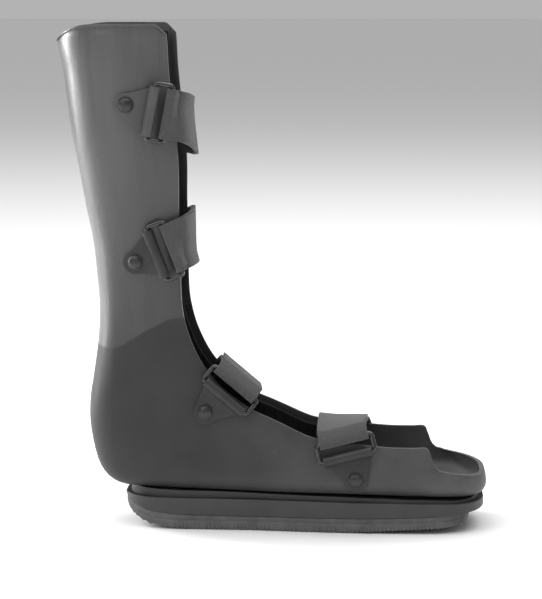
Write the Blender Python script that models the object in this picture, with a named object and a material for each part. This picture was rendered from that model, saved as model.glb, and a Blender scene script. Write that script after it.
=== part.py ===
"""A tall walking boot: an open moulded shell on a rocker sole, closed by four buckled straps.

Units are metres, +Z is up, +X points to the toe and the buckles are on the -Y side. The origin is on the
ground, under the middle of the boot's length.
"""

import math

import bmesh
import bpy
import numpy as np
from mathutils import Vector
from mathutils.bvhtree import BVHTree

# Driving dimensions
BOOT_LENGTH = 0.342
SHELL_HEIGHT = 0.372
SHELL_WIDTH = 0.124
WALL = 0.0042
TOP_DIP = 0.014
TOP_DIP_REACH = 0.040
FRONT_BEVEL = 0.008
LINING_THICKNESS = 0.004
LINING_MARGIN = 0.006

OUTSOLE_THICKNESS = 0.0115
MIDSOLE_THICKNESS = 0.0165
FLANGE_TOP = 0.0135
RECESS_DEPTH = 0.0045
SOLE_WIDTH = 0.108
OUTSOLE_INSET = 0.0008

STRAP_WIDTH = 0.039
STRAP_THICKNESS = 0.0020
TAB_THICKNESS = 0.0020
TAB_APEX_RADIUS = 0.0095
BUCKLE_WIRE = 0.0038
BUCKLE_SPAN = 0.0180
BUCKLE_CORNER = 0.0028
RIVET_RADIUS = 0.0064
RIVET_HEIGHT = 0.0034
RIVET_EDGE = 0.0010
FAR_RIVET_SETBACK = 0.011
FOLD_BACK_SHARE = 0.35
WALL_REACH = 0.007
BRIDGE_START = 0.003
BRIDGE_SQUARE = 4.0
FRONT_STEP = 0.002

# Clearances
GAP = 0.0003
CLOTH_GAP = 0.0006
BAR_GAP = 0.0004
LINING_GAP = 0.0006
WEBBING_SIDE_GAP = 0.0007

SOLE_TOP = OUTSOLE_THICKNESS + MIDSOLE_THICKNESS
BAR_RADIUS = BUCKLE_WIRE / 2
BAR_DISTANCE = BUCKLE_SPAN - BUCKLE_WIRE
BUCKLE_LENGTH = STRAP_WIDTH + 2 * (WEBBING_SIDE_GAP + BUCKLE_WIRE)

# The shell is a fan of U-shaped sections. Each joins a point of the open rim to a point of the back and
# bottom outline. Its plane lies flat at the calf, stands up under the foot and lies down again at the toe.
# Lengths along X are shares of BOOT_LENGTH from its middle, heights are shares of SHELL_HEIGHT from the top
# of the sole, and widths are shares of SHELL_WIDTH. "turn" is the share of the section's depth in which the
# U turns to its full width, and "square" is how square it turns.
SECTION_COLUMNS = ("rim_x", "rim_z", "back_x", "back_z", "width", "rim_width", "turn", "square")
SECTIONS = (
    (-0.237, 1.000, -0.500, 1.000, 1.000, 0.806, 0.62, 2.2),
    (-0.235, 0.960, -0.499, 0.954, 1.000, 0.806, 0.62, 2.2),
    (-0.232, 0.906, -0.488, 0.903, 1.000, 0.806, 0.62, 2.2),
    (-0.225, 0.839, -0.479, 0.839, 0.984, 0.806, 0.62, 2.2),
    (-0.215, 0.763, -0.468, 0.763, 0.960, 0.790, 0.62, 2.2),
    (-0.211, 0.691, -0.452, 0.691, 0.919, 0.774, 0.62, 2.2),
    (-0.211, 0.618, -0.437, 0.613, 0.879, 0.758, 0.62, 2.2),
    (-0.209, 0.546, -0.421, 0.538, 0.839, 0.742, 0.62, 2.2),
    (-0.208, 0.478, -0.413, 0.468, 0.806, 0.726, 0.62, 2.2),
    (-0.205, 0.409, -0.407, 0.392, 0.774, 0.718, 0.60, 2.3),
    (-0.194, 0.358, -0.411, 0.320, 0.758, 0.710, 0.58, 2.4),
    (-0.177, 0.316, -0.421, 0.253, 0.750, 0.710, 0.55, 2.5),
    (-0.152, 0.274, -0.431, 0.188, 0.750, 0.710, 0.50, 2.6),
    (-0.120, 0.239, -0.428, 0.124, 0.750, 0.718, 0.44, 2.8),
    (-0.079, 0.208, -0.406, 0.051, 0.758, 0.726, 0.38, 3.2),
    (-0.041, 0.185, -0.363, 0.016, 0.758, 0.742, 0.32, 3.8),
    (-0.006, 0.171, -0.292, 0.011, 0.774, 0.758, 0.30, 4.6),
    (0.032, 0.155, -0.211, 0.009, 0.790, 0.774, 0.30, 5.4),
    (0.064, 0.141, -0.117, 0.008, 0.823, 0.798, 0.30, 6.0),
    (0.096, 0.130, -0.015, 0.005, 0.855, 0.823, 0.30, 6.0),
    (0.140, 0.124, 0.082, 0.003, 0.887, 0.847, 0.32, 6.0),
    (0.199, 0.117, 0.170, 0.002, 0.903, 0.863, 0.33, 6.0),
    (0.269, 0.111, 0.257, 0.000, 0.911, 0.868, 0.34, 6.0),
    (0.327, 0.110, 0.322, -0.002, 0.911, 0.871, 0.34, 6.0),
    (0.358, 0.110, 0.355, -0.002, 0.906, 0.871, 0.34, 6.0),
    (0.368, 0.093, 0.370, -0.003, 0.903, 0.874, 0.40, 6.0),
    (0.376, 0.074, 0.380, -0.003, 0.900, 0.877, 0.48, 6.0),
    (0.387, 0.063, 0.395, -0.003, 0.895, 0.877, 0.55, 6.0),
    (0.399, 0.060, 0.427, -0.004, 0.887, 0.871, 0.60, 5.0),
    (0.406, 0.058, 0.459, -0.004, 0.871, 0.855, 0.70, 4.2),
    (0.411, 0.057, 0.485, -0.001, 0.855, 0.847, 0.85, 3.4),
    (0.413, 0.057, 0.499, 0.011, 0.847, 0.842, 0.95, 3.0),
    (0.414, 0.057, 0.501, 0.027, 0.844, 0.842, 0.97, 3.0),
    (0.415, 0.056, 0.497, 0.044, 0.839, 0.839, 0.98, 3.0),
)
FIRST_SOLE_SECTION = 15
LAST_SOLE_SECTION = 30
TURN_STEPS = 8
WALL_STEPS = 4
INNER_TURN_SHARE = 0.6

# The lining runs from just under the top rim to the last strap. Places are counted in rows of SECTIONS.
LINING_FIRST = 0.5
LINING_LAST = 20.5

# The sole's side view: x as a share of BOOT_LENGTH, heights as shares of OUTSOLE_THICKNESS.
SOLE_COLUMNS = ("x", "tread", "seam")
SOLE_PROFILE = (
    (-0.346, 1.70, 2.09),
    (-0.339, 1.26, 1.88),
    (-0.327, 0.92, 1.64),
    (-0.304, 0.52, 1.39),
    (-0.272, 0.24, 1.21),
    (-0.234, 0.10, 1.09),
    (-0.200, 0.00, 1.03),
    (-0.117, 0.00, 0.98),
    (0.137, 0.00, 1.00),
    (0.220, 0.06, 1.04),
    (0.298, 0.21, 1.11),
    (0.380, 0.34, 1.21),
    (0.427, 0.45, 1.30),
    (0.462, 0.63, 1.44),
    (0.500, 0.80, 1.48),
)
HEEL_END = -0.346
FLANGE_TOE_END = 0.494
OUTSOLE_TOE_END = 0.462
HEEL_ROUND = 0.040
TOE_ROUND = 0.030
SOLE_STATIONS = 24
END_ANGLE = math.radians(80)

# The sole's plan: x as a share of BOOT_LENGTH, half width as a share of SOLE_WIDTH.
PLAN_COLUMNS = ("x", "half_width")
SOLE_PLAN = (
    (-0.36, 0.370),
    (-0.20, 0.385),
    (-0.05, 0.400),
    (0.10, 0.455),
    (0.22, 0.490),
    (0.34, 0.500),
    (0.42, 0.490),
    (0.50, 0.470),
)

# The four fastenings, calf first. Places are shares as in SECTIONS. "turn" is the direction in which the
# strap leaves the buckle, in degrees above +X, and "lean" is how far the buckle tips in over the opening.
# "bulge", "skew" and "reach" are shares of STRAP_WIDTH: how far the strap stands out in front of the rim,
# how far it climbs on its way to the far side, and how far it runs down the far wall.
FASTENING_COLUMNS = ("rivet_x", "rivet_z", "buckle_x", "buckle_z", "turn", "lean", "bulge", "skew", "reach")
FASTENINGS = (
    (-0.326, 0.834, -0.250, 0.817, -10.9, 20.0, 0.20, -0.40, 1.00),
    (-0.308, 0.503, -0.241, 0.528, 21.4, 18.0, 0.14, 0.00, 1.00),
    (-0.151, 0.182, -0.094, 0.230, 49.8, 18.0, 0.08, 0.00, 1.00),
    (0.196, 0.043, 0.173, 0.113, 104.5, 18.0, 0.10, 0.00, 0.72),
)
NEAR = -1
FAR = 1
LOOK_FROM = 1.0


def clear_scene():
    for item in list(bpy.data.objects):
        bpy.data.objects.remove(item, do_unlink=True)


def material(name, colour, roughness, metallic=0.0):
    made = bpy.data.materials.new(name)
    made.use_nodes = True
    shader = made.node_tree.nodes["Principled BSDF"]
    shader.inputs["Base Color"].default_value = (*colour, 1.0)
    shader.inputs["Roughness"].default_value = roughness
    shader.inputs["Metallic"].default_value = metallic
    return made


def add_object(name, points, faces, finish, sharp_angle=math.radians(35)):
    """One closed body, with its faces turned outwards and its round stretches shaded smooth."""
    mesh = bpy.data.meshes.new(name)
    build = bmesh.new()
    corners = [build.verts.new(point) for point in points]
    for face in faces:
        build.faces.new([corners[index] for index in face])
    bmesh.ops.recalc_face_normals(build, faces=build.faces)
    build.to_mesh(mesh)
    build.free()
    mesh.shade_smooth()
    mesh.set_sharp_from_angle(angle=sharp_angle)
    mesh.materials.append(finish)
    made = bpy.data.objects.new(name, mesh)
    bpy.context.scene.collection.objects.link(made)
    return made


def slab(front, back):
    """A closed body between two grids of points of the same shape."""
    rows, columns = front.shape[:2]
    points = np.concatenate([front.reshape(-1, 3), back.reshape(-1, 3)])
    ids = np.arange(rows * columns).reshape(rows, columns)
    other = ids + rows * columns
    faces = []
    for row in range(rows - 1):
        for column in range(columns - 1):
            here = (ids[row, column], ids[row, column + 1], ids[row + 1, column + 1], ids[row + 1, column])
            there = tuple(index + rows * columns for index in reversed(here))
            faces += [here, there]
    for column in range(columns - 1):
        faces.append((ids[0, column + 1], ids[0, column], other[0, column], other[0, column + 1]))
        faces.append((ids[-1, column], ids[-1, column + 1], other[-1, column + 1], other[-1, column]))
    for row in range(rows - 1):
        faces.append((ids[row, 0], ids[row + 1, 0], other[row + 1, 0], other[row, 0]))
        faces.append((ids[row + 1, -1], ids[row, -1], other[row, -1], other[row + 1, -1]))
    return points, [[int(index) for index in face] for face in faces]


def grid_normals(grid):
    """Unit normals of a grid of points, from its two directions."""
    along = np.gradient(grid, axis=0)
    across = np.gradient(grid, axis=1)
    normals = np.cross(along, across)
    return normals / np.linalg.norm(normals, axis=2, keepdims=True)


def shell_section(place):
    """The section at a place counted in rows of SECTIONS, smoothly between the rows."""
    row = min(int(place), len(SECTIONS) - 2)
    share = place - row
    last = len(SECTIONS) - 1
    before, start, end, after = (
        np.array(SECTIONS[min(max(row + step, 0), last)]) for step in (-1, 0, 1, 2)
    )
    values = 0.5 * (
        2 * start
        + (end - before) * share
        + (2 * before - 5 * start + 4 * end - after) * share**2
        + (3 * start - before - 3 * end + after) * share**3
    )
    return dict(zip(SECTION_COLUMNS, values))


def u_outline(section, depth, inset, margin):
    """(depth from the back point, half width) of one side of a U, from the back point to the rim."""
    turn = section["turn"] * depth - INNER_TURN_SHARE * inset
    half = section["width"] * SHELL_WIDTH / 2 - inset
    rim_half = section["rim_width"] * SHELL_WIDTH / 2 - inset
    straight = depth - margin - inset - turn
    outline = []
    for step in range(TURN_STEPS + 1):
        angle = math.pi / 2 * step / TURN_STEPS
        outline.append((inset + turn * (1 - math.cos(angle)), half * math.sin(angle) ** (2 / section["square"])))
    for step in range(1, WALL_STEPS + 1):
        share = step / WALL_STEPS
        outline.append((inset + turn + straight * share, half - (half - rim_half) * share**2))
    return outline


def shell_row(place, inset=0.0, margin=0.0):
    """The points of one U of the shell, near rim to far rim, set in from its outside by inset."""
    section = shell_section(place)
    rim = np.array([section["rim_x"] * BOOT_LENGTH, SOLE_TOP + section["rim_z"] * SHELL_HEIGHT])
    back = np.array([section["back_x"] * BOOT_LENGTH, SOLE_TOP + section["back_z"] * SHELL_HEIGHT])
    depth = float(np.linalg.norm(rim - back))
    direction = (rim - back) / depth
    top = max(0.0, 1.0 - place)
    side = []
    for along, half in u_outline(section, depth, inset, margin):
        x, z = back + direction * along
        z -= top * TOP_DIP * max(0.0, 1 - along / TOP_DIP_REACH) ** 3
        z -= top * max(0.0, along - depth + FRONT_BEVEL)
        side.append((x, half, z))
    near = [(x, -half, z) for x, half, z in reversed(side[1:])]
    return np.array(near + side)


def build_shell(finish):
    places = range(len(SECTIONS))
    outside = np.array([shell_row(place) for place in places])
    inside = np.array([shell_row(place, WALL) for place in places])
    points, faces = slab(outside, inside)
    return add_object("shell", points, faces, finish)


def build_lining(finish):
    places = [LINING_FIRST, *range(math.ceil(LINING_FIRST), int(LINING_LAST) + 1), LINING_LAST]
    outer = WALL + LINING_GAP
    outside = np.array([shell_row(place, outer, LINING_MARGIN) for place in places])
    inside = np.array([shell_row(place, outer + LINING_THICKNESS, LINING_MARGIN) for place in places])
    points, faces = slab(outside, inside)
    return add_object("lining", points, faces, finish)


def sole_height(x, column):
    table = np.array(SOLE_PROFILE)
    shares = np.interp(x / BOOT_LENGTH, table[:, 0], table[:, SOLE_COLUMNS.index(column)])
    return float(shares) * OUTSOLE_THICKNESS


def shell_underside(x):
    rows = SECTIONS[FIRST_SOLE_SECTION : LAST_SOLE_SECTION + 1]
    back_x = [row[SECTION_COLUMNS.index("back_x")] for row in rows]
    back_z = [row[SECTION_COLUMNS.index("back_z")] for row in rows]
    return SOLE_TOP + float(np.interp(x / BOOT_LENGTH, back_x, back_z)) * SHELL_HEIGHT


def flange_top(x):
    """The flange keeps its distance under the shell at the heel and closes up to it at the toe."""
    share = (x / BOOT_LENGTH - HEEL_END) / (FLANGE_TOE_END - HEEL_END)
    return OUTSOLE_THICKNESS + FLANGE_TOP + 0.0008 * (1 - 2 * share)


def sole_stations(toe_end, inset):
    """(x, half width) of the sole's plan, heel to toe, with both ends rounded."""
    low = HEEL_END * BOOT_LENGTH + inset
    high = toe_end * BOOT_LENGTH - inset
    table = np.array(SOLE_PLAN)
    stations = []
    ends = 7
    turns = [END_ANGLE * step / (ends - 1) for step in range(ends)]
    heel = [low + HEEL_ROUND * (1 - math.sin(turn) / math.sin(END_ANGLE)) for turn in reversed(turns)]
    toe = [high - TOE_ROUND * (1 - math.sin(turn) / math.sin(END_ANGLE)) for turn in turns]
    middle = np.linspace(heel[-1], toe[0], SOLE_STATIONS - 2 * ends + 2)[1:-1]
    for x in (*heel, *middle, *toe):
        half = float(np.interp(x / BOOT_LENGTH, table[:, 0], table[:, 1])) * SOLE_WIDTH - inset
        for end, reach in ((low, HEEL_ROUND), (high, TOE_ROUND)):
            into = max(0.0, 1 - abs(x - end) / reach) * math.sin(END_ANGLE)
            half *= (1 - into**2.4) ** (1 / 2.4)
        stations.append((float(x), half))
    return stations


def plate(levels):
    """A closed body from levels of (x, half width, z), lowest first, each level one closed outline."""
    count = len(levels[0])
    points = []
    for level in levels:
        points += [(x, -half, z) for x, half, z in level]
        points += [(x, half, z) for x, half, z in reversed(level)]
    ring = 2 * count
    faces = []
    for lower in range(len(levels) - 1):
        for index in range(ring):
            after = (index + 1) % ring
            base = lower * ring
            faces.append((base + index, base + after, base + ring + after, base + ring + index))
    for base in (0, (len(levels) - 1) * ring):
        for index in range(count - 1):
            faces.append((base + index, base + index + 1, base + ring - 2 - index, base + ring - 1 - index))
    return points, faces


def build_midsole(finish):
    wide = sole_stations(FLANGE_TOE_END, 0.0)
    narrow = sole_stations(FLANGE_TOE_END, RECESS_DEPTH)
    levels = (
        [(x, half, sole_height(x, "seam") + GAP) for x, half in wide],
        [(x, half, flange_top(x)) for x, half in wide],
        [(x, half, flange_top(x)) for x, half in narrow],
        [(x, half, shell_underside(x) - GAP) for x, half in narrow],
    )
    points, faces = plate(levels)
    return add_object("midsole", points, faces, finish)


def build_outsole(finish):
    stations = sole_stations(OUTSOLE_TOE_END, OUTSOLE_INSET)
    levels = (
        [(x, half, sole_height(x, "tread")) for x, half in stations],
        [(x, half, sole_height(x, "seam")) for x, half in stations],
    )
    points, faces = plate(levels)
    return add_object("outsole", points, faces, finish)


class Fastening:
    """One tab, buckle and strap, laid out in the side view and seated on the shell's outside."""

    def __init__(self, row, tree):
        values = dict(zip(FASTENING_COLUMNS, row))
        self.tree = tree
        turn = math.radians(values["turn"])
        self.forward = np.array([math.cos(turn), 0.0, math.sin(turn)])
        self.across = np.array([-math.sin(turn), 0.0, math.cos(turn)])
        self.centre = self.side_point(values["buckle_x"], values["buckle_z"])
        self.rivet = self.side_point(values["rivet_x"], values["rivet_z"])
        self.lean = math.radians(values["lean"])
        self.bulge = values["bulge"] * STRAP_WIDTH
        self.skew = values["skew"] * STRAP_WIDTH
        self.reach = values["reach"] * STRAP_WIDTH
        inward = np.array([0.0, -NEAR, 0.0])
        self.half_span = BAR_DISTANCE / 2 * math.cos(self.lean)
        first_y = self.bar_depth(-self.half_span, TAB_THICKNESS)
        second_y = self.bar_depth(self.half_span, STRAP_THICKNESS)
        self.lean = min(self.lean, math.asin(min(1.0, (second_y - first_y) / BAR_DISTANCE)))
        self.frame_along = self.forward * math.cos(self.lean) + inward * math.sin(self.lean)
        self.frame_in = -self.forward * math.sin(self.lean) + inward * math.cos(self.lean)
        self.half_span = BAR_DISTANCE / 2 * math.cos(self.lean)
        place = self.at(-self.half_span, 0.0)
        self.first_bar = np.array([place[0], first_y, place[2]])
        self.second_bar = self.first_bar + self.frame_along * BAR_DISTANCE

    @staticmethod
    def side_point(x_share, z_share):
        return np.array([x_share * BOOT_LENGTH, 0.0, SOLE_TOP + z_share * SHELL_HEIGHT])

    def at(self, along, across):
        """A point of the side view, from distances along the strap and across it."""
        return self.centre + self.forward * along + self.across * across

    def seat(self, along, across, side, lift):
        """The point that stands off the shell by lift, or None beyond the rim."""
        place = self.at(along, across)
        start = Vector((place[0], side * LOOK_FROM, place[2]))
        point, normal, _, _ = self.tree.ray_cast(start, Vector((0.0, -side, 0.0)))
        if point is None:
            return None
        if normal.y * side < 0:
            normal = -normal
        return np.array(point + normal * lift)

    def bar_depth(self, along, cloth):
        """Where a bar's axis lies, clear of the cloth under it and of the shell under that."""
        depths = []
        for share in np.linspace(-0.5, 0.5, 7):
            for step in (-2.5, -1.0, 0.0):
                hit = self.seat(along + step * BAR_RADIUS, share * BUCKLE_LENGTH, NEAR, 0.0)
                if hit is not None:
                    depths.append(hit[1])
        lift = CLOTH_GAP + cloth + BAR_GAP + BAR_RADIUS
        return min(depths, default=BOOT_LENGTH) - lift

    def rim_reach(self, across):
        """How far along the strap's line the shell's side reaches."""
        low, high = -2 * BUCKLE_SPAN, 2 * BUCKLE_SPAN
        for _ in range(24):
            middle = (low + high) / 2
            if self.seat(middle, across, NEAR, 0.0) is None:
                high = middle
            else:
                low = middle
        return low

    def rim_line(self, across):
        """A straight line over the rim, so that the webbing stays flat across its width."""
        edge = STRAP_WIDTH / 2
        left, centre, right = (self.rim_reach(side * edge) for side in (-1, 0, 1))
        lift = max(0.0, centre - (left + right) / 2)
        return left + (right - left) * (across + edge) / STRAP_WIDTH + lift

    def tab_edges(self, along):
        """Where the tab's two edges lie at a place along it, from its round apex to the first bar."""
        offset = self.rivet - self.first_bar
        apex = float(offset @ self.forward)
        middle = float(offset @ self.across)
        if along <= apex:
            reach = math.sqrt(max(0.0, TAB_APEX_RADIUS**2 - (along - apex) ** 2))
            return middle - reach, middle + reach
        share = min(1.0, (along - apex) / -apex)
        low = (middle - TAB_APEX_RADIUS) * (1 - share) - STRAP_WIDTH / 2 * share
        high = (middle + TAB_APEX_RADIUS) * (1 - share) + STRAP_WIDTH / 2 * share
        return low, high

    def tab_grid(self, columns=5):
        """The side of the tab that faces away from the shell, then its loop round the first bar."""
        apex = float((self.rivet - self.first_bar) @ self.forward)
        round_part = [apex - TAB_APEX_RADIUS * math.cos(math.radians(angle)) for angle in (12, 35, 60, 90)]
        flat_part = list(np.linspace(apex, 0.0, 7)[1:-1])
        radius = BAR_RADIUS + BAR_GAP
        under = self.first_bar + self.frame_in * radius
        grid = []
        for along in round_part + flat_part:
            low, high = self.tab_edges(along)
            row = []
            for across in np.linspace(low, high, columns):
                point = self.seat(along - self.half_span, across, NEAR, CLOTH_GAP + TAB_THICKNESS)
                if point is None:
                    point = self.at(along - self.half_span, across) + np.array([0.0, under[1], 0.0])
                near_bar = max(0.0, 1 + along / (BUCKLE_SPAN * 0.8))
                point[1] = point[1] * (1 - near_bar**2) + under[1] * near_bar**2
                row.append(point)
            grid.append(row)
        for angle in np.radians(np.arange(0, 271, 30)):
            centre = self.first_bar + radius * (
                self.frame_in * math.cos(angle) + self.frame_along * math.sin(angle)
            )
            low, high = self.tab_edges(0.0)
            grid.append([centre + self.across * across for across in np.linspace(low, high, columns)])
        return np.array(grid)

    def bridge_point(self, across, angle):
        """A point of the strap's stretch over the opening, from 0 at the far rim to pi at the near one."""
        rim = self.rim_line(across)
        far_across = across + self.skew
        far_rim = self.rim_line(far_across)
        lift = CLOTH_GAP + STRAP_THICKNESS
        wall = self.seat(self.rim_reach(across) - FRONT_STEP, across, NEAR, 0.0)
        half = abs(wall[1]) + lift + BAR_GAP
        height = self.bulge + lift + BAR_GAP + BRIDGE_START
        under = self.second_bar + self.frame_in * (BAR_RADIUS + BAR_GAP)
        raised = max(0.0, float((under - self.centre) @ self.forward) - rim + FRONT_STEP)
        side = math.cos(angle)
        y = half * math.copysign(abs(side) ** (2 / BRIDGE_SQUARE), side)
        travel = (half - y) / (2 * half)
        along = height * math.sin(angle) ** (2 / BRIDGE_SQUARE) - BRIDGE_START
        along += far_rim * (1 - travel) + (rim + raised) * travel
        place = self.at(along, far_across * (1 - travel) + across * travel)
        return np.array([place[0], y, place[2]])

    def bridge_angles(self):
        """The stretch over the opening ends where the strap goes in under the second bar."""
        under = self.second_bar + self.frame_in * (BAR_RADIUS + BAR_GAP)
        reach = float((under - self.centre) @ self.forward)
        kept = []
        for angle in np.radians([8, 18, 28, 40, 52, 65, 78, 90, 102, 115, 128, 140, 152, 162, 172]):
            point = self.bridge_point(0.0, angle)
            along = float((point - self.centre) @ self.forward)
            passed = angle > math.pi / 2 and along < reach + FRONT_STEP
            if point[1] > under[1] + STRAP_THICKNESS / 2 and not passed:
                kept.append(angle)
        return kept

    def strap_line(self, across):
        """One line of the strap's outer side, from its far end over the front to the second bar."""
        far_across = across + self.skew
        far_rim = self.rim_line(far_across)
        line = []
        for along in np.linspace(far_rim - self.reach, far_rim - WALL_REACH, 6):
            line.append(self.seat(along, far_across, FAR, CLOTH_GAP + STRAP_THICKNESS))
        line += [self.bridge_point(across, angle) for angle in self.bridge_angles()]
        return line

    def strap_grid(self, columns=3):
        """The strap's outer side, its loop round the second bar, and its end folded back over itself."""
        lines = np.linspace(-STRAP_WIDTH / 2, STRAP_WIDTH / 2, columns)
        lower = np.array([self.strap_line(across) for across in lines]).transpose(1, 0, 2)
        radius = BAR_RADIUS + BAR_GAP
        loop = []
        for angle in np.radians(np.arange(0, 211, 30)):
            centre = self.second_bar + radius * (
                self.frame_in * math.cos(angle) - self.frame_along * math.sin(angle)
            )
            loop.append([centre + self.across * across for across in lines])
        outward = -grid_normals(lower) * self.inner_sign(lower)
        clear = np.linalg.norm(lower[:, columns // 2] - self.second_bar, axis=1) > 3 * STRAP_THICKNESS
        rows = np.flatnonzero(clear)[::-1][: int(FOLD_BACK_SHARE * len(lower))]
        rise = np.linspace(STRAP_THICKNESS, 0.0, len(rows)) ** 3 / STRAP_THICKNESS**2
        back = lower[rows] + outward[rows] * (CLOTH_GAP + BAR_GAP + rise)[:, None, None]
        return np.concatenate([lower, np.array(loop), back])

    @staticmethod
    def inner_sign(grid):
        """1 where a grid's own normals point into the strap's ring, and -1 where they point out of it."""
        normals = grid_normals(grid)
        middle = grid.mean(axis=(0, 1))
        inward = ((middle - grid) * normals).sum(axis=2)
        return 1.0 if inward.mean() > 0 else -1.0


def add_strip(name, grid, thickness, inner_side, finish):
    """A strip of cloth: the grid is one side of it, and its other side lies a thickness away."""
    points, faces = slab(grid, grid + grid_normals(grid) * thickness * inner_side)
    return add_object(name, points, faces, finish)


def build_buckle(name, fastening, finish, sides=8, corner_steps=3):
    """A rectangular loop of round wire with rounded corners."""
    half_long = (BUCKLE_LENGTH - BUCKLE_WIRE) / 2
    half_short = BAR_DISTANCE / 2
    corner = BUCKLE_CORNER
    middle = (fastening.first_bar + fastening.second_bar) / 2
    path = []
    for quarter, (sign_a, sign_b) in enumerate(((1, 1), (-1, 1), (-1, -1), (1, -1))):
        for step in range(corner_steps + 1):
            angle = math.radians(90 * (quarter + step / corner_steps))
            path.append(
                (
                    sign_a * (half_short - corner) + corner * math.cos(angle),
                    sign_b * (half_long - corner) + corner * math.sin(angle),
                    angle,
                )
            )
    points = []
    for along, across, angle in path:
        centre = middle + fastening.frame_along * along + fastening.across * across
        out = fastening.frame_along * math.cos(angle) + fastening.across * math.sin(angle)
        for side in range(sides):
            turn = math.tau * side / sides
            points.append(centre + BAR_RADIUS * (out * math.cos(turn) + fastening.frame_in * math.sin(turn)))
    count = len(path)
    faces = []
    for ring in range(count):
        after = (ring + 1) % count
        for side in range(sides):
            turn = (side + 1) % sides
            faces.append(
                (ring * sides + side, after * sides + side, after * sides + turn, ring * sides + turn)
            )
    return add_object(name, points, faces, finish, math.radians(60))


def build_rivet(name, point, normal, finish, sides=14, dome_steps=3):
    """A domed rivet head that stands on a point, along a normal."""
    axis = Vector(normal).normalized()
    first = axis.orthogonal().normalized()
    second = axis.cross(first)
    rings = [(RIVET_RADIUS, 0.0)]
    for step in range(dome_steps):
        angle = math.pi / 2 * step / dome_steps
        rings.append((RIVET_RADIUS * math.cos(angle), RIVET_EDGE + (RIVET_HEIGHT - RIVET_EDGE) * math.sin(angle)))
    points = []
    for radius, height in rings:
        for side in range(sides):
            turn = math.tau * side / sides
            place = Vector(point) + axis * height
            points.append(place + radius * (first * math.cos(turn) + second * math.sin(turn)))
    points.append(Vector(point) + axis * RIVET_HEIGHT)
    faces = [tuple(reversed(range(sides)))]
    for ring in range(len(rings) - 1):
        for side in range(sides):
            after = (side + 1) % sides
            base = ring * sides
            faces.append((base + side, base + after, base + sides + after, base + sides + side))
    top = (len(rings) - 1) * sides
    for side in range(sides):
        faces.append((top + side, top + (side + 1) % sides, len(points) - 1))
    return add_object(name, points, faces, finish, math.radians(50))


def surface_normal(tree, point, side):
    _, normal, _, _ = tree.find_nearest(Vector(point))
    return np.array(-normal if normal.y * side < 0 else normal)


def build_fastening(number, row, tree, finishes):
    fastening = Fastening(row, tree)
    tab = fastening.tab_grid()
    add_strip(f"tab_{number}", tab, TAB_THICKNESS, fastening_side(tab, fastening), finishes["tab"])
    build_buckle(f"buckle_{number}", fastening, finishes["buckle"])
    strap = fastening.strap_grid()
    add_strip(f"strap_{number}", strap, STRAP_THICKNESS, strap_side(strap, tree), finishes["strap"])
    along, _, across = (float((fastening.rivet - fastening.centre) @ axis) for axis in (
        fastening.forward, np.array([0.0, 1.0, 0.0]), fastening.across))
    seat = fastening.seat(along, across, NEAR, 0.0)
    normal = surface_normal(tree, seat, NEAR)
    build_rivet(
        f"rivet_{number}", seat + normal * (CLOTH_GAP + TAB_THICKNESS + CLOTH_GAP), normal, finishes["rivet"]
    )
    far_along = fastening.rim_line(fastening.skew) - fastening.reach + FAR_RIVET_SETBACK
    seat = fastening.seat(far_along, fastening.skew, FAR, 0.0)
    normal = surface_normal(tree, seat, FAR)
    build_rivet(
        f"far_rivet_{number}", seat + normal * (CLOTH_GAP + STRAP_THICKNESS + CLOTH_GAP), normal, finishes["rivet"]
    )


def fastening_side(grid, fastening):
    """1 where the grid's own normals point at the shell, else -1."""
    return 1.0 if grid_normals(grid)[1, 2] @ fastening.frame_in > 0 else -1.0


def strap_side(grid, tree):
    """1 where the far end's own normals point at the shell, else -1."""
    return 1.0 if grid_normals(grid)[1, 1][1] * FAR < 0 else -1.0


def main():
    clear_scene()
    finishes = {
        "shell": material("moulded_plastic", (0.050, 0.050, 0.052), 0.42),
        "lining": material("foam", (0.006, 0.006, 0.007), 0.95),
        "midsole": material("midsole_plastic", (0.040, 0.040, 0.042), 0.55),
        "outsole": material("tread_rubber", (0.110, 0.110, 0.112), 0.80),
        "tab": material("tab_plastic", (0.022, 0.022, 0.024), 0.50),
        "strap": material("webbing", (0.018, 0.018, 0.020), 0.80),
        "buckle": material("buckle_wire", (0.012, 0.012, 0.013), 0.30),
        "rivet": material("rivet_head", (0.020, 0.020, 0.021), 0.35),
    }
    shell = build_shell(finishes["shell"])
    build_lining(finishes["lining"])
    build_midsole(finishes["midsole"])
    build_outsole(finishes["outsole"])
    tree = BVHTree.FromPolygons(
        [vertex.co for vertex in shell.data.vertices],
        [tuple(polygon.vertices) for polygon in shell.data.polygons],
    )
    for number, row in enumerate(FASTENINGS, start=1):
        build_fastening(number, row, tree, finishes)


main()
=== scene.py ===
"""Looks of a tall walking boot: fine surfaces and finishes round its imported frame.

Units are metres, +Z is up, +X points to the toe and the buckles are on the -Y side.
"""

import math

import bmesh
import bpy
import numpy as np
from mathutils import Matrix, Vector, noise
from mathutils.bvhtree import BVHTree


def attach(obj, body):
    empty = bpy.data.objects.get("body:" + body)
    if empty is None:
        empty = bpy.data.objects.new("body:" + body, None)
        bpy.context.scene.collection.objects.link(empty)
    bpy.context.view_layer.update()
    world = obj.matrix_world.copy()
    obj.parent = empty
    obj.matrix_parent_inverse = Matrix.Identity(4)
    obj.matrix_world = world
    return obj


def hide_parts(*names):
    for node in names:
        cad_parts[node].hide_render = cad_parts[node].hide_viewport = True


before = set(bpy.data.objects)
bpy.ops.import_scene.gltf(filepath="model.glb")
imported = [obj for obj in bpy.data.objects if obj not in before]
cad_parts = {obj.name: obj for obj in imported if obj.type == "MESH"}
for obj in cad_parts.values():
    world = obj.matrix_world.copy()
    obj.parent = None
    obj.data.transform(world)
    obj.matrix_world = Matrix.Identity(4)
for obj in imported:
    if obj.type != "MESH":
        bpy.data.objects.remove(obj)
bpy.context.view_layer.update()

# Driving dimensions, as in the frame
BOOT_LENGTH = 0.342
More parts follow.
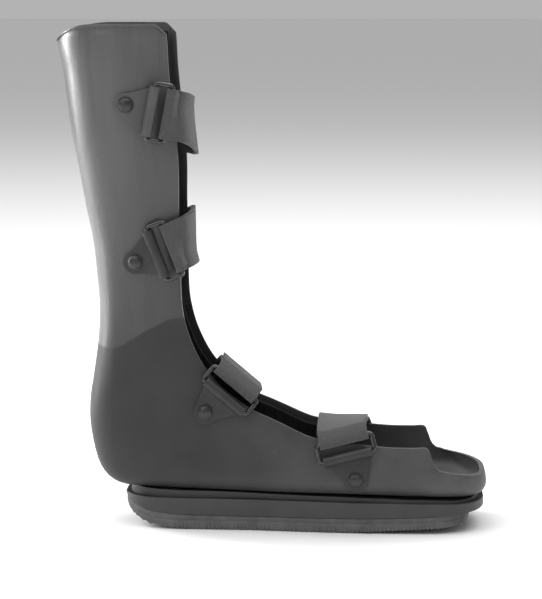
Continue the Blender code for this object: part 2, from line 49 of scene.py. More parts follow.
SHELL_HEIGHT = 0.372
SHELL_WIDTH = 0.124
WALL = 0.0042
TOP_DIP = 0.014
TOP_DIP_REACH = 0.040
FRONT_BEVEL = 0.008
LINING_THICKNESS = 0.004
LINING_MARGIN = 0.006

OUTSOLE_THICKNESS = 0.0115
MIDSOLE_THICKNESS = 0.0165
FLANGE_TOP = 0.0135
FLANGE_SLOPE = 0.0008
RECESS_DEPTH = 0.0045
SOLE_WIDTH = 0.108
OUTSOLE_INSET = 0.0008

STRAP_WIDTH = 0.039
STRAP_THICKNESS = 0.0020
TAB_THICKNESS = 0.0020
TAB_APEX_RADIUS = 0.0095
BUCKLE_WIRE = 0.0038
BUCKLE_SPAN = 0.0180
BUCKLE_CORNER = 0.0028
RIVET_RADIUS = 0.0064
RIVET_HEIGHT = 0.0034
RIVET_EDGE = 0.0010
FAR_RIVET_SETBACK = 0.011
FOLD_BACK_SHARE = 0.35
WALL_REACH = 0.007
BRIDGE_START = 0.003
BRIDGE_SQUARE = 4.0
FRONT_STEP = 0.002

GAP = 0.0003
CLOTH_GAP = 0.0006
BAR_GAP = 0.0004
LINING_GAP = 0.0006
WEBBING_SIDE_GAP = 0.0007

SOLE_TOP = OUTSOLE_THICKNESS + MIDSOLE_THICKNESS
BAR_RADIUS = BUCKLE_WIRE / 2
BAR_DISTANCE = BUCKLE_SPAN - BUCKLE_WIRE
BUCKLE_LENGTH = STRAP_WIDTH + 2 * (WEBBING_SIDE_GAP + BUCKLE_WIRE)

# The shell's U-shaped sections: shares of BOOT_LENGTH, SHELL_HEIGHT and SHELL_WIDTH, as in the frame
SECTION_COLUMNS = ("rim_x", "rim_z", "back_x", "back_z", "width", "rim_width", "turn", "square")
SECTIONS = (
    (-0.237, 1.000, -0.500, 1.000, 1.000, 0.806, 0.62, 2.2),
    (-0.235, 0.960, -0.499, 0.954, 1.000, 0.806, 0.62, 2.2),
    (-0.232, 0.906, -0.488, 0.903, 1.000, 0.806, 0.62, 2.2),
    (-0.225, 0.839, -0.479, 0.839, 0.984, 0.806, 0.62, 2.2),
    (-0.215, 0.763, -0.468, 0.763, 0.960, 0.790, 0.62, 2.2),
    (-0.211, 0.691, -0.452, 0.691, 0.919, 0.774, 0.62, 2.2),
    (-0.211, 0.618, -0.437, 0.613, 0.879, 0.758, 0.62, 2.2),
    (-0.209, 0.546, -0.421, 0.538, 0.839, 0.742, 0.62, 2.2),
    (-0.208, 0.478, -0.413, 0.468, 0.806, 0.726, 0.62, 2.2),
    (-0.205, 0.409, -0.407, 0.392, 0.774, 0.718, 0.60, 2.3),
    (-0.194, 0.358, -0.411, 0.320, 0.758, 0.710, 0.58, 2.4),
    (-0.177, 0.316, -0.421, 0.253, 0.750, 0.710, 0.55, 2.5),
    (-0.152, 0.274, -0.431, 0.188, 0.750, 0.710, 0.50, 2.6),
    (-0.120, 0.239, -0.428, 0.124, 0.750, 0.718, 0.44, 2.8),
    (-0.079, 0.208, -0.406, 0.051, 0.758, 0.726, 0.38, 3.2),
    (-0.041, 0.185, -0.363, 0.016, 0.758, 0.742, 0.32, 3.8),
    (-0.006, 0.171, -0.292, 0.011, 0.774, 0.758, 0.30, 4.6),
    (0.032, 0.155, -0.211, 0.009, 0.790, 0.774, 0.30, 5.4),
    (0.064, 0.141, -0.117, 0.008, 0.823, 0.798, 0.30, 6.0),
    (0.096, 0.130, -0.015, 0.005, 0.855, 0.823, 0.30, 6.0),
    (0.140, 0.124, 0.082, 0.003, 0.887, 0.847, 0.32, 6.0),
    (0.199, 0.117, 0.170, 0.002, 0.903, 0.863, 0.33, 6.0),
    (0.269, 0.111, 0.257, 0.000, 0.911, 0.868, 0.34, 6.0),
    (0.327, 0.110, 0.322, -0.002, 0.911, 0.871, 0.34, 6.0),
    (0.358, 0.110, 0.355, -0.002, 0.906, 0.871, 0.34, 6.0),
    (0.368, 0.093, 0.370, -0.003, 0.903, 0.874, 0.40, 6.0),
    (0.376, 0.074, 0.380, -0.003, 0.900, 0.877, 0.48, 6.0),
    (0.387, 0.063, 0.395, -0.003, 0.895, 0.877, 0.55, 6.0),
    (0.399, 0.060, 0.427, -0.004, 0.887, 0.871, 0.60, 5.0),
    (0.406, 0.058, 0.459, -0.004, 0.871, 0.855, 0.70, 4.2),
    (0.411, 0.057, 0.485, -0.001, 0.855, 0.847, 0.85, 3.4),
    (0.413, 0.057, 0.499, 0.011, 0.847, 0.842, 0.95, 3.0),
    (0.414, 0.057, 0.501, 0.027, 0.844, 0.842, 0.97, 3.0),
    (0.415, 0.056, 0.497, 0.044, 0.839, 0.839, 0.98, 3.0),
)
FIRST_SOLE_SECTION = 15
LAST_SOLE_SECTION = 30
INNER_TURN_SHARE = 0.6
ROWS_PER_SECTION = 4
TURN_STEPS = 22
WALL_STEPS = 14
LINING_FIRST = 0.5
LINING_LAST = 20.5

# The sole's side view: x as a share of BOOT_LENGTH, heights as shares of OUTSOLE_THICKNESS
SOLE_COLUMNS = ("x", "tread", "seam")
SOLE_PROFILE = (
    (-0.346, 1.70, 2.09),
    (-0.339, 1.26, 1.88),
    (-0.327, 0.92, 1.64),
    (-0.304, 0.52, 1.39),
    (-0.272, 0.24, 1.21),
    (-0.234, 0.10, 1.09),
    (-0.200, 0.00, 1.03),
    (-0.117, 0.00, 0.98),
    (0.137, 0.00, 1.00),
    (0.220, 0.06, 1.04),
    (0.298, 0.21, 1.11),
    (0.380, 0.34, 1.21),
    (0.427, 0.45, 1.30),
    (0.462, 0.63, 1.44),
    (0.500, 0.80, 1.48),
)
HEEL_END = -0.346
FLANGE_TOE_END = 0.494
OUTSOLE_TOE_END = 0.462
HEEL_ROUND = 0.040
TOE_ROUND = 0.030
END_ANGLE = math.radians(80)
PLAN_SQUARE = 2.4

# The sole's plan: x as a share of BOOT_LENGTH, half width as a share of SOLE_WIDTH
SOLE_PLAN = (
    (-0.36, 0.370),
    (-0.20, 0.385),
    (-0.05, 0.400),
    (0.10, 0.455),
    (0.22, 0.490),
    (0.34, 0.500),
    (0.42, 0.490),
    (0.50, 0.470),
)

# The four fastenings, calf first, in the shares and degrees of the frame
FASTENING_COLUMNS = ("rivet_x", "rivet_z", "buckle_x", "buckle_z", "turn", "lean", "bulge", "skew", "reach")
FASTENINGS = (
    (-0.326, 0.834, -0.250, 0.817, -10.9, 20.0, 0.20, -0.40, 1.00),
    (-0.308, 0.503, -0.241, 0.528, 21.4, 18.0, 0.14, 0.00, 1.00),
    (-0.151, 0.182, -0.094, 0.230, 49.8, 18.0, 0.08, 0.00, 1.00),
    (0.196, 0.043, 0.173, 0.113, 104.5, 18.0, 0.10, 0.00, 0.72),
)
NEAR = -1
FAR = 1
LOOK_FROM = 1.0

# Low relief that only the looks have
LIP_PROFILE = ((0.0, 0.0007), (0.0026, 0.0007), (0.0033, -0.0004), (0.0062, -0.0004), (0.0076, 0.0))
LIP_ROWS = (0.0, 0.0013, 0.0026, 0.0033, 0.0047, 0.0062, 0.0076, 0.0100, 0.0125)
CREASE_START = (0.086, 0.0592)
CREASE_END = (0.138, 0.0500)
CREASE_RISE = 0.0008
CREASE_BLEND = 0.0011
CREASE_FADE = 0.022
RIM_ROUND = 0.0012
SOLE_ROUND = 0.0008
CLOTH_ROUND = 0.0006
TREAD_PITCH = 0.0031
TREAD_DEPTH = 0.0009
SIDE_RIB_DEPTH = 0.0004
SEED = 7


# Pieces

def place_piece(name, slot, *nodes):
    """Puts a finished piece on the frame in place of its CAD nodes."""
    piece = bpy.data.objects[name]
    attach(piece, "root")
    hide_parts(*nodes)
    return piece


def add_piece(name, points, faces, finish, uvs=None, sharp_angle=math.radians(40)):
    """One closed body, with its faces turned outwards and its round stretches shaded smooth."""
    mesh = bpy.data.meshes.new(name)
    build = bmesh.new()
    corners = [build.verts.new(point) for point in points]
    layer = build.loops.layers.uv.new("UVMap") if uvs is not None else None
    for face in faces:
        made = build.faces.new([corners[index] for index in face])
        if layer:
            for loop, index in zip(made.loops, face):
                loop[layer].uv = uvs[index]
    bmesh.ops.recalc_face_normals(build, faces=build.faces)
    build.to_mesh(mesh)
    build.free()
    mesh.shade_smooth()
    mesh.set_sharp_from_angle(angle=sharp_angle)
    mesh.materials.append(finish)
    piece = bpy.data.objects.new(name, mesh)
    bpy.context.scene.collection.objects.link(piece)
    return piece


def slab(front, back):
    """A closed body between two grids of points, and the number of its first border face."""
    rows, columns = front.shape[:2]
    points = np.concatenate([front.reshape(-1, 3), back.reshape(-1, 3)])
    ids = np.arange(rows * columns).reshape(rows, columns)
    other = ids + rows * columns
    faces = []
    for row in range(rows - 1):
        for column in range(columns - 1):
            here = (ids[row, column], ids[row, column + 1], ids[row + 1, column + 1], ids[row + 1, column])
            there = tuple(index + rows * columns for index in reversed(here))
            faces += [here, there]
    first_border = len(faces)
    for column in range(columns - 1):
        faces.append((ids[0, column + 1], ids[0, column], other[0, column], other[0, column + 1]))
        faces.append((ids[-1, column], ids[-1, column + 1], other[-1, column + 1], other[-1, column]))
    for row in range(rows - 1):
        faces.append((ids[row, 0], ids[row + 1, 0], other[row + 1, 0], other[row, 0]))
        faces.append((ids[row + 1, -1], ids[row, -1], other[row, -1], other[row + 1, -1]))
    return points, [[int(index) for index in face] for face in faces], first_border


def round_border(piece, first_border, width, segments=3):
    """Rounds the edges between a slab's two sides and its border."""
    build = bmesh.new()
    build.from_mesh(piece.data)
    build.faces.ensure_lookup_table()
    weights = build.edges.layers.float.new("bevel_weight_edge")
    for edge in build.edges:
        if len({face.index < first_border for face in edge.link_faces}) == 2:
            edge[weights] = 1.0
            edge.smooth = True
    build.to_mesh(piece.data)
    build.free()
    add_bevel(piece, width, segments, "WEIGHT")


def add_bevel(piece, width, segments, limit="ANGLE"):
    bevel = piece.modifiers.new("Rounding", "BEVEL")
    bevel.width = width
    bevel.segments = segments
    bevel.limit_method = limit
    bevel.angle_limit = math.radians(35)
    bevel.harden_normals = False


def grid_normals(grid):
    """Unit normals of a grid of points, from its two directions."""
    along = np.gradient(grid, axis=0)
    across = np.gradient(grid, axis=1)
    normals = np.cross(along, across)
    return normals / np.linalg.norm(normals, axis=2, keepdims=True)


def grid_lengths(grid):
    """Distances along and across a grid from its first corner, for a cloth's own coordinates."""
    middle = grid.shape[1] // 2
    along = np.concatenate([[0], np.cumsum(np.linalg.norm(np.diff(grid[:, middle], axis=0), axis=1))])
    across = np.concatenate([[0], np.cumsum(np.linalg.norm(np.diff(grid[0], axis=0), axis=1))])
    return np.stack(np.meshgrid(along, across - across[-1] / 2, indexing="ij"), axis=2)


def add_strip(name, grid, thickness, side, finish, round_width=CLOTH_ROUND):
    """A strip of cloth: the grid is one side of it, and its other side lies a thickness away."""
    points, faces, first_border = slab(grid, grid + grid_normals(grid) * thickness * side)
    lengths = grid_lengths(grid).reshape(-1, 2)
    piece = add_piece(name, points, faces, finish, np.concatenate([lengths, lengths]))
    round_border(piece, first_border, round_width)
    return piece


# Shell and lining

def shell_section(place):
    """The section at a place counted in rows of SECTIONS, smoothly between the rows."""
    row = min(int(place), len(SECTIONS) - 2)
    share = place - row
    last = len(SECTIONS) - 1
    before, start, end, after = (
        np.array(SECTIONS[min(max(row + step, 0), last)]) for step in (-1, 0, 1, 2)
    )
    values = 0.5 * (
        2 * start
        + (end - before) * share
        + (2 * before - 5 * start + 4 * end - after) * share**2
        + (3 * start - before - 3 * end + after) * share**3
    )
    return dict(zip(SECTION_COLUMNS, values))


def u_outline(section, depth, inset, margin):
    """(depth from the back point, half width) of one side of a U, from the back point to the rim."""
    turn = section["turn"] * depth - INNER_TURN_SHARE * inset
    half = section["width"] * SHELL_WIDTH / 2 - inset
    rim_half = section["rim_width"] * SHELL_WIDTH / 2 - inset
    straight = depth - margin - inset - turn
    outline = []
    for step in range(TURN_STEPS + 1):
        angle = math.pi / 2 * step / TURN_STEPS
        outline.append((inset + turn * (1 - math.cos(angle)), half * math.sin(angle) ** (2 / section["square"])))
    for step in range(1, WALL_STEPS + 1):
        share = step / WALL_STEPS
        outline.append((inset + turn + straight * share, half - (half - rim_half) * share**2))
    return outline


def shell_row(place, inset=0.0, margin=0.0):
    """The points of one U of the shell, near rim to far rim, set in from its outside by inset."""
    section = shell_section(place)
    rim = np.array([section["rim_x"] * BOOT_LENGTH, SOLE_TOP + section["rim_z"] * SHELL_HEIGHT])
    back = np.array([section["back_x"] * BOOT_LENGTH, SOLE_TOP + section["back_z"] * SHELL_HEIGHT])
    depth = float(np.linalg.norm(rim - back))
    direction = (rim - back) / depth
    top = max(0.0, 1.0 - place)
    side = []
    for along, half in u_outline(section, depth, inset, margin):
        x, z = back + direction * along
        z -= top * TOP_DIP * max(0.0, 1 - along / TOP_DIP_REACH) ** 3
        z -= top * max(0.0, along - depth + FRONT_BEVEL)
        side.append((x, half, z))
    near = [(x, -half, z) for x, half, z in reversed(side[1:])]
    return np.array(near + side)


def row_drop(place):
    """How far a place in the first row lies under the top rim."""
    return place * (SECTIONS[0][1] - SECTIONS[1][1]) * SHELL_HEIGHT


def lip_rise(place):
    """The moulded lip round the top and the groove under it, as a distance out of the surface."""
    depths, rises = zip(*LIP_PROFILE)
    return float(np.interp(row_drop(place), depths, rises))


def add_crease(rows):
    """The side wall stands out a little below the line that runs back from the toe's lip."""
    x, z = rows[..., 0], rows[..., 2]
    line = np.interp(x, (CREASE_START[0], CREASE_END[0]), (CREASE_START[1], CREASE_END[1]))
    below = np.clip((line - z) / CREASE_BLEND + 0.5, 0, 1)
    near = np.clip((x - CREASE_START[0]) / CREASE_FADE, 0, 1)
    fade = np.clip((z - SOLE_TOP) / (2 * CREASE_FADE), 0, 1)
    past = np.clip((CREASE_END[0] + CREASE_FADE - x) / CREASE_FADE, 0, 1)
    rows[..., 1] += np.sign(rows[..., 1]) * CREASE_RISE * below * near * fade * past


def shell_places():
    top = [drop / row_drop(1.0) for drop in LIP_ROWS]
    steps = (len(SECTIONS) - 2) * ROWS_PER_SECTION
    return top + [1 + step / ROWS_PER_SECTION for step in range(steps + 1)]


def build_shell(finish):
    outside = np.array([shell_row(place, -lip_rise(place)) for place in shell_places()])
    inside = np.array([shell_row(place, WALL) for place in shell_places()])
    add_crease(outside)
    points, faces, first_border = slab(outside, inside)
    piece = add_piece("boot_shell", points, faces, finish)
    round_border(piece, first_border, RIM_ROUND)
    return place_piece("boot_shell", "moulded_plastic", "shell")


def build_lining(finish):
    """A thin foam lining, a little uneven and softly pressed in here and there."""
    steps = int((LINING_LAST - LINING_FIRST) * ROWS_PER_SECTION)
    places = [LINING_FIRST + step / ROWS_PER_SECTION for step in range(steps + 1)]
    outer = WALL + LINING_GAP
    outside = np.array([shell_row(place, outer, LINING_MARGIN) for place in places])
    inside = np.array([shell_row(place, outer + LINING_THICKNESS, LINING_MARGIN) for place in places])
    press = np.array([[0.35 * noise.noise(Vector(point) * 60) for point in row] for row in inside])
    inside = inside + (outside - inside) * (0.15 + press)[..., None].clip(0, 0.6)
    points, faces, first_border = slab(outside, inside)
    piece = add_piece("foam_lining", points, faces, finish)
    round_border(piece, first_border, CLOTH_ROUND * 2)
    place_piece("foam_lining", "foam", "lining")


# Sole

def sole_height(x, column):
    table = np.array(SOLE_PROFILE)
    shares = np.interp(x / BOOT_LENGTH, table[:, 0], table[:, SOLE_COLUMNS.index(column)])
    return float(shares) * OUTSOLE_THICKNESS


def shell_underside(x):
    rows = SECTIONS[FIRST_SOLE_SECTION : LAST_SOLE_SECTION + 1]
    back_x = [row[SECTION_COLUMNS.index("back_x")] for row in rows]
    back_z = [row[SECTION_COLUMNS.index("back_z")] for row in rows]
    return SOLE_TOP + float(np.interp(x / BOOT_LENGTH, back_x, back_z)) * SHELL_HEIGHT


def flange_top(x):
    """The flange keeps its distance under the shell at the heel and closes up to it at the toe."""
    share = (x / BOOT_LENGTH - HEEL_END) / (FLANGE_TOE_END - HEEL_END)
    return OUTSOLE_THICKNESS + FLANGE_TOP + FLANGE_SLOPE * (1 - 2 * share)


def sole_stations(toe_end, inset, count, ends):
    """(x, half width) of the sole's plan, heel to toe, with both ends rounded."""
    low = HEEL_END * BOOT_LENGTH + inset
    high = toe_end * BOOT_LENGTH - inset
    table = np.array(SOLE_PLAN)
    turns = [END_ANGLE * step / (ends - 1) for step in range(ends)]
    heel = [low + HEEL_ROUND * (1 - math.sin(turn) / math.sin(END_ANGLE)) for turn in reversed(turns)]
    toe = [high - TOE_ROUND * (1 - math.sin(turn) / math.sin(END_ANGLE)) for turn in turns]
    middle = np.linspace(heel[-1], toe[0], count - 2 * ends + 2)[1:-1]
    stations = []
    for x in (*heel, *middle, *toe):
        half = float(np.interp(x / BOOT_LENGTH, table[:, 0], table[:, 1])) * SOLE_WIDTH - inset
        for end, reach in ((low, HEEL_ROUND), (high, TOE_ROUND)):
            into = max(0.0, 1 - abs(x - end) / reach) * math.sin(END_ANGLE)
            half *= (1 - into**PLAN_SQUARE) ** (1 / PLAN_SQUARE)
        stations.append((float(x), half))
    return stations


def plate(levels):
    """A closed body from levels of (x, half width, z), lowest first, each level one closed outline."""
    count = len(levels[0])
    points = []
    for level in levels:
        points += [(x, -half, z) for x, half, z in level]
        points += [(x, half, z) for x, half, z in reversed(level)]
    ring = 2 * count
    faces = []
    for lower in range(len(levels) - 1):
        for index in range(ring):
            after = (index + 1) % ring
            base = lower * ring
            faces.append((base + index, base + after, base + ring + after, base + ring + index))
    for base in (0, (len(levels) - 1) * ring):
        for index in range(count - 1):
            faces.append((base + index, base + index + 1, base + ring - 2 - index, base + ring - 1 - index))
    return points, faces


def build_midsole(finish):
    wide = sole_stations(FLANGE_TOE_END, 0.0, 90, 22)
    narrow = sole_stations(FLANGE_TOE_END, RECESS_DEPTH, 90, 22)
    levels = (
        [(x, half, sole_height(x, "seam") + GAP) for x, half in wide],
        [(x, half, flange_top(x)) for x, half in wide],
        [(x, half, flange_top(x)) for x, half in narrow],
        [(x, half, shell_underside(x) - GAP) for x, half in narrow],
    )
    points, faces = plate(levels)
    piece = add_piece("sole_flange", points, faces, finish)
    add_bevel(piece, SOLE_ROUND, 3)
    place_piece("sole_flange", "midsole_plastic", "midsole")


def build_outsole(finish):
    """The tread has ribs across it, which also mark the lower half of its side."""
    count = int((OUTSOLE_TOE_END - HEEL_END) * BOOT_LENGTH / TREAD_PITCH * 4)
    stations = sole_stations(OUTSOLE_TOE_END, OUTSOLE_INSET, count, 24)
    levels = []
    for height, inset, rib in (
        (0.00, 0.0009, 1.0),
        (0.10, 0.0002, 1.0),
        (0.46, 0.0000, 0.8),
        (0.54, 0.0000, 0.0),
        (0.60, 0.0006, 0.0),
        (0.68, 0.0006, 0.0),
        (0.74, 0.0000, 0.0),
        (1.00, 0.0000, 0.0),
    ):
        level = []
        for x, half in stations:
            groove = 0.5 - 0.5 * math.tanh(3 * math.cos(math.tau * x / TREAD_PITCH))
            low = sole_height(x, "tread") + (groove * TREAD_DEPTH if height == 0 else 0.0)
            z = low + (sole_height(x, "seam") - low) * height
            level.append((x, max(0.0005, half - inset - rib * groove * SIDE_RIB_DEPTH), z))
        levels.append(level)
    points, faces = plate(levels)
    add_piece("rocker_outsole", points, faces, finish, sharp_angle=math.radians(50))
    place_piece("rocker_outsole", "tread_rubber", "outsole")


# Fastenings

class Fastening:
    """One tab, buckle and strap, laid out in the side view and seated on the shell's outside."""

    def __init__(self, row, tree):
        values = dict(zip(FASTENING_COLUMNS, row))
        self.tree = tree
        turn = math.radians(values["turn"])
        self.forward = np.array([math.cos(turn), 0.0, math.sin(turn)])
        self.across = np.array([-math.sin(turn), 0.0, math.cos(turn)])
        self.centre = self.side_point(values["buckle_x"], values["buckle_z"])
        self.rivet = self.side_point(values["rivet_x"], values["rivet_z"])
        self.lean = math.radians(values["lean"])
        self.bulge = values["bulge"] * STRAP_WIDTH
        self.skew = values["skew"] * STRAP_WIDTH
        self.reach = values["reach"] * STRAP_WIDTH
        inward = np.array([0.0, -NEAR, 0.0])
        self.half_span = BAR_DISTANCE / 2 * math.cos(self.lean)
        first_y = self.bar_depth(-self.half_span, TAB_THICKNESS)
        second_y = self.bar_depth(self.half_span, STRAP_THICKNESS)
        self.lean = min(self.lean, math.asin(min(1.0, (second_y - first_y) / BAR_DISTANCE)))
        self.frame_along = self.forward * math.cos(self.lean) + inward * math.sin(self.lean)
        self.frame_in = -self.forward * math.sin(self.lean) + inward * math.cos(self.lean)
        self.half_span = BAR_DISTANCE / 2 * math.cos(self.lean)
        place = self.at(-self.half_span, 0.0)
        self.first_bar = np.array([place[0], first_y, place[2]])
        self.second_bar = self.first_bar + self.frame_along * BAR_DISTANCE

    @staticmethod
    def side_point(x_share, z_share):
        return np.array([x_share * BOOT_LENGTH, 0.0, SOLE_TOP + z_share * SHELL_HEIGHT])

    def at(self, along, across):
        """A point of the side view, from distances along the strap and across it."""
        return self.centre + self.forward * along + self.across * across

    def seat(self, along, across, side, lift):
        """The point that stands off the shell by lift, or None beyond the rim."""
        place = self.at(along, across)
        start = Vector((place[0], side * LOOK_FROM, place[2]))
        point, normal, _, _ = self.tree.ray_cast(start, Vector((0.0, -side, 0.0)))
        if point is None:
            return None
        if normal.y * side < 0:
            normal = -normal
        return np.array(point + normal * lift)

    def bar_depth(self, along, cloth):
        """Where a bar's axis lies, clear of the cloth under it and of the shell under that."""
        depths = []
        for share in np.linspace(-0.5, 0.5, 7):
            for step in (-2.5, -1.0, 0.0):
                hit = self.seat(along + step * BAR_RADIUS, share * BUCKLE_LENGTH, NEAR, 0.0)
                if hit is not None:
                    depths.append(hit[1])
        lift = CLOTH_GAP + cloth + BAR_GAP + BAR_RADIUS
        return min(depths, default=BOOT_LENGTH) - lift

    def rim_reach(self, across):
        """How far along the strap's line the shell's side reaches."""
        low, high = -2 * BUCKLE_SPAN, 2 * BUCKLE_SPAN
        for _ in range(24):
            middle = (low + high) / 2
            if self.seat(middle, across, NEAR, 0.0) is None:
                high = middle
            else:
                low = middle
        return low

    def rim_line(self, across):
        """A straight line over the rim, so that the webbing stays flat across its width."""
        edge = STRAP_WIDTH / 2
        left, centre, right = (self.rim_reach(side * edge) for side in (-1, 0, 1))
        lift = max(0.0, centre - (left + right) / 2)
        return left + (right - left) * (across + edge) / STRAP_WIDTH + lift

    def tab_edges(self, along):
        """Where the tab's two edges lie at a place along it, from its round apex to the first bar."""
        offset = self.rivet - self.first_bar
        apex = float(offset @ self.forward)
        middle = float(offset @ self.across)
        if along <= apex:
            reach = math.sqrt(max(0.0, TAB_APEX_RADIUS**2 - (along - apex) ** 2))
            return middle - reach, middle + reach
        share = min(1.0, (along - apex) / -apex)
        low = (middle - TAB_APEX_RADIUS) * (1 - share) - STRAP_WIDTH / 2 * share
        high = (middle + TAB_APEX_RADIUS) * (1 - share) + STRAP_WIDTH / 2 * share
        return low, high

    def tab_grid(self, columns=17):
        """The side of the tab that faces away from the shell, then its loop round the first bar."""
        apex = float((self.rivet - self.first_bar) @ self.forward)
        turns = np.radians(np.linspace(8, 90, 14))
        round_part = [apex - TAB_APEX_RADIUS * math.cos(angle) for angle in turns]
        flat_part = list(np.linspace(apex, 0.0, 26)[1:-1])
        radius = BAR_RADIUS + BAR_GAP
        under = self.first_bar + self.frame_in * radius
        grid = []
        for along in round_part + flat_part:
            low, high = self.tab_edges(along)
            row = []
            for across in np.linspace(low, high, columns):
                point = self.seat(along - self.half_span, across, NEAR, CLOTH_GAP + TAB_THICKNESS)
                if point is None:
                    point = self.at(along - self.half_span, across) + np.array([0.0, under[1], 0.0])
                near_bar = max(0.0, 1 + along / (BUCKLE_SPAN * 0.8))
                point[1] = point[1] * (1 - near_bar**2) + under[1] * near_bar**2
                row.append(point)
            grid.append(row)
        low, high = self.tab_edges(0.0)
        for angle in np.radians(np.arange(0, 271, 10)):
            centre = self.first_bar + radius * (
                self.frame_in * math.cos(angle) + self.frame_along * math.sin(angle)
            )
            grid.append([centre + self.across * across for across in np.linspace(low, high, columns)])
        return np.array(grid)

    def bridge_point(self, across, angle, edges):
        """A point of the strap's stretch over the opening, from 0 at the far rim to pi at the near one."""
        rim, far_rim, wall_y = edges
        far_across = across + self.skew
        lift = CLOTH_GAP + STRAP_THICKNESS
        half = abs(wall_y) + lift + BAR_GAP
        height = self.bulge + lift + BAR_GAP + BRIDGE_START
        under = self.second_bar + self.frame_in * (BAR_RADIUS + BAR_GAP)
        raised = max(0.0, float((under - self.centre) @ self.forward) - rim + FRONT_STEP)
        side = math.cos(angle)
        y = half * math.copysign(abs(side) ** (2 / BRIDGE_SQUARE), side)
        travel = (half - y) / (2 * half)
        along = height * math.sin(angle) ** (2 / BRIDGE_SQUARE) - BRIDGE_START
        along += far_rim * (1 - travel) + (rim + raised) * travel
        place = self.at(along, far_across * (1 - travel) + across * travel)
        return np.array([place[0], y, place[2]])

    def edges(self, across):
        wall = self.seat(self.rim_reach(across) - FRONT_STEP, across, NEAR, 0.0)
        return self.rim_line(across), self.rim_line(across + self.skew), wall[1]

    def bridge_angles(self):
        """The stretch over the opening ends where the strap goes in under the second bar."""
        under = self.second_bar + self.frame_in * (BAR_RADIUS + BAR_GAP)
        reach = float((under - self.centre) @ self.forward)
        edges = self.edges(0.0)
        kept = []
        for angle in np.radians(np.linspace(8, 172, 62)):
            point = self.bridge_point(0.0, angle, edges)
            along = float((point - self.centre) @ self.forward)
            passed = angle > math.pi / 2 and along < reach + FRONT_STEP
            if point[1] > under[1] + STRAP_THICKNESS / 2 and not passed:
                kept.append(angle)
        return kept

    def strap_grid(self, columns=9):
        """The strap's outer side, its loop round the second bar, and its end folded back over itself."""
        lines = np.linspace(-STRAP_WIDTH / 2, STRAP_WIDTH / 2, columns)
        angles = self.bridge_angles()
        rows = []
        for across in lines:
            far_across = across + self.skew
            edges = self.edges(across)
            line = []
            for along in np.linspace(edges[1] - self.reach, edges[1] - WALL_REACH, 20):
                line.append(self.seat(along, far_across, FAR, CLOTH_GAP + STRAP_THICKNESS))
            line += [self.bridge_point(across, angle, edges) for angle in angles]
            rows.append(line)
        lower = np.array(rows).transpose(1, 0, 2)
        radius = BAR_RADIUS + BAR_GAP
        loop = []
        for angle in np.radians(np.arange(0, 211, 10)):
            centre = self.second_bar + radius * (
                self.frame_in * math.cos(angle) - self.frame_along * math.sin(angle)
            )
            loop.append([centre + self.across * across for across in lines])
        outward = -grid_normals(lower) * self.inner_sign(lower)
        clear = np.linalg.norm(lower[:, columns // 2] - self.second_bar, axis=1) > 3 * STRAP_THICKNESS
        kept = np.flatnonzero(clear)[::-1][: int(FOLD_BACK_SHARE * len(lower))]
        rise = np.linspace(STRAP_THICKNESS, 0.0, len(kept)) ** 3 / STRAP_THICKNESS**2
        back = lower[kept] + outward[kept] * (CLOTH_GAP + BAR_GAP + rise)[:, None, None]
        return np.concatenate([lower, np.array(loop), back])

    @staticmethod
    def inner_sign(grid):
        """1 where a grid's own normals point into the strap's ring, and -1 where they point out of it."""
        normals = grid_normals(grid)
        middle = grid.mean(axis=(0, 1))
        inward = ((middle - grid) * normals).sum(axis=2)
        return 1.0 if inward.mean() > 0 else -1.0


def build_buckle(name, fastening, finish, sides=20, corner_steps=8):
    """A rectangular loop of round wire with rounded corners."""
    half_long = (BUCKLE_LENGTH - BUCKLE_WIRE) / 2
    half_short = BAR_DISTANCE / 2
    middle = (fastening.first_bar + fastening.second_bar) / 2
    path = []
    for quarter, (sign_a, sign_b) in enumerate(((1, 1), (-1, 1), (-1, -1), (1, -1))):
        for step in range(corner_steps + 1):
            angle = math.radians(90 * (quarter + step / corner_steps))
            along = sign_a * (half_short - BUCKLE_CORNER) + BUCKLE_CORNER * math.cos(angle)
            across = sign_b * (half_long - BUCKLE_CORNER) + BUCKLE_CORNER * math.sin(angle)
            path.append((along, across, angle))
    points = []
    for along, across, angle in path:
        centre = middle + fastening.frame_along * along + fastening.across * across
        out = fastening.frame_along * math.cos(angle) + fastening.across * math.sin(angle)
        for side in range(sides):
            turn = math.tau * side / sides
            points.append(centre + BAR_RADIUS * (out * math.cos(turn) + fastening.frame_in * math.sin(turn)))
    faces = []
    for ring in range(len(path)):
        after = (ring + 1) % len(path)
        for side in range(sides):
            turn = (side + 1) % sides
            faces.append((ring * sides + side, after * sides + side, after * sides + turn, ring * sides + turn))
    return add_piece(name, points, faces, finish, sharp_angle=math.radians(60))


